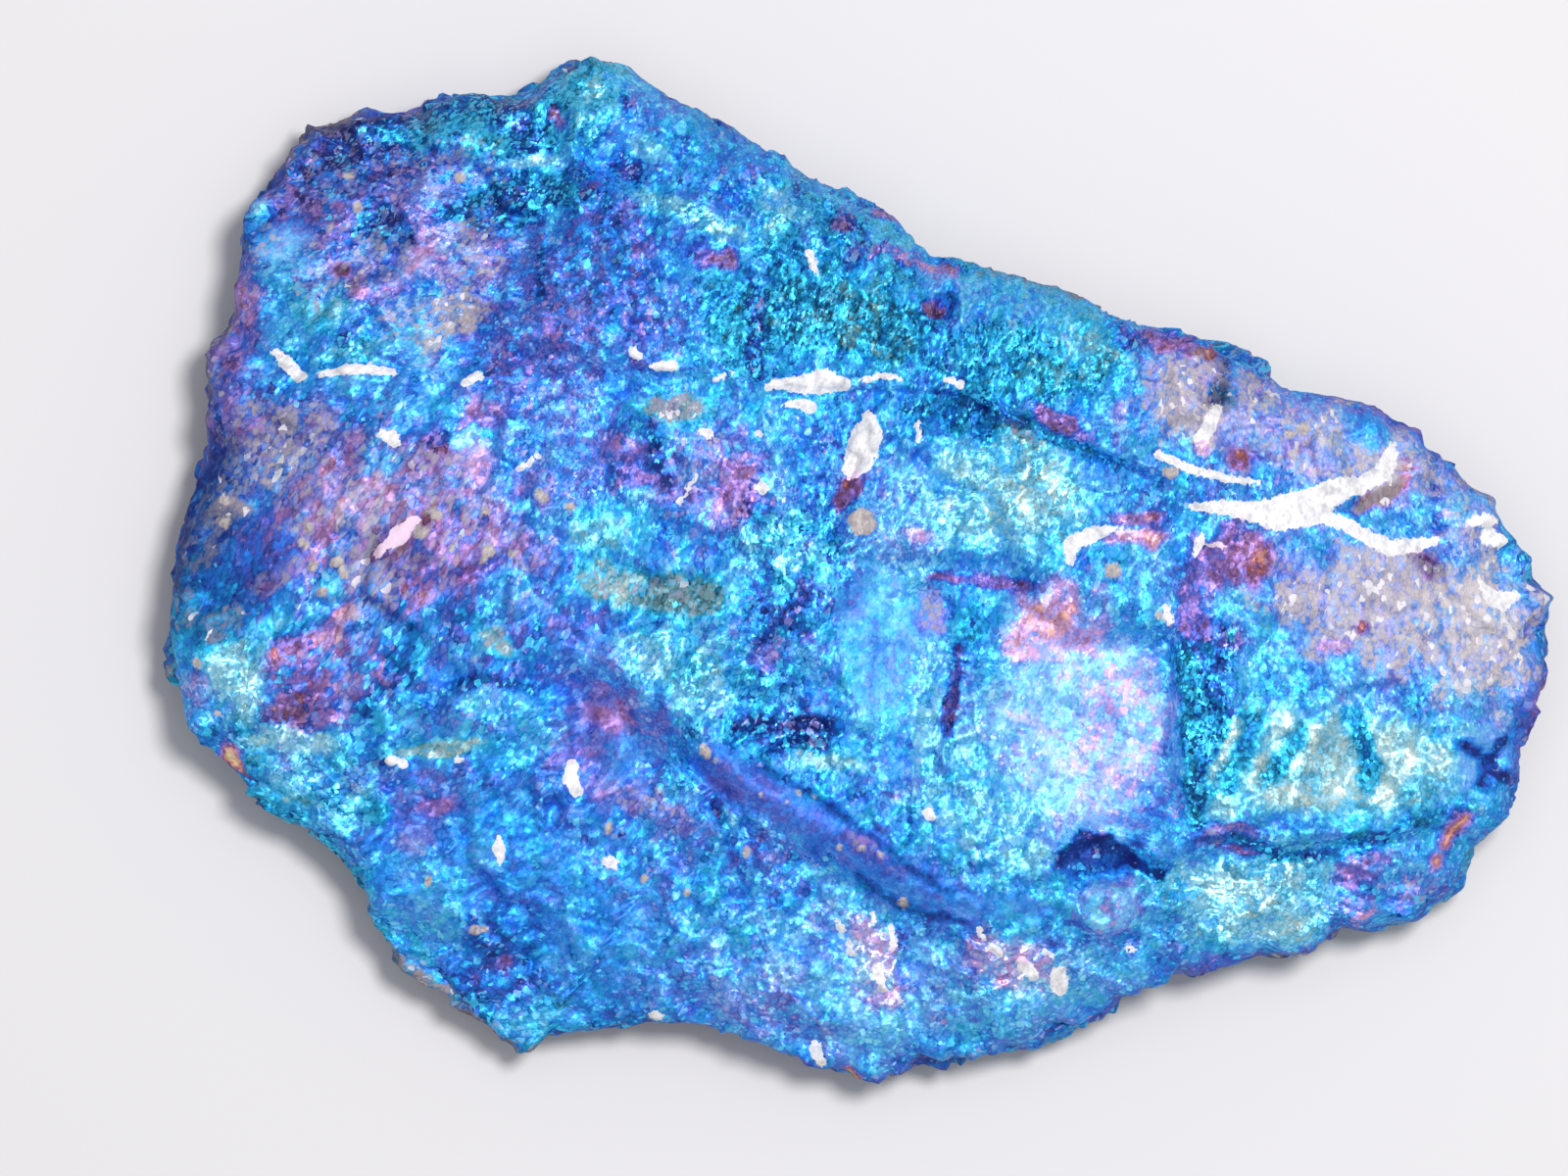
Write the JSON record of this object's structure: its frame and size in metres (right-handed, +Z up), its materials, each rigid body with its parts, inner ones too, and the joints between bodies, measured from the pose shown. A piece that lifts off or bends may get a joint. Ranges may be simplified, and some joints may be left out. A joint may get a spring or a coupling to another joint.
{
  "type": "peacock ore hand specimen",
  "caption": "Rough slab of peacock ore with blue, teal and violet tarnish, white veins, ledges and hollows, lying flat on its broken back.",
  "frame": {"origin": "on the resting plane, under the middle of the slab's bounding box", "axes": "+X along the slab's length towards its narrow end, +Y towards its raised knob, +Z up, out of the broad broken face"},
  "size_m": [0.1698, 0.1258, 0.0295],
  "materials": {
    "tarnished_ore": "glittering metallic tarnish, blue, teal and violet, with dull grey-tan matrix and matt white veins"
  },
  "bodies": {
    "root": {"ore_slab": "tarnished_ore"}
  },
  "joints": []
}
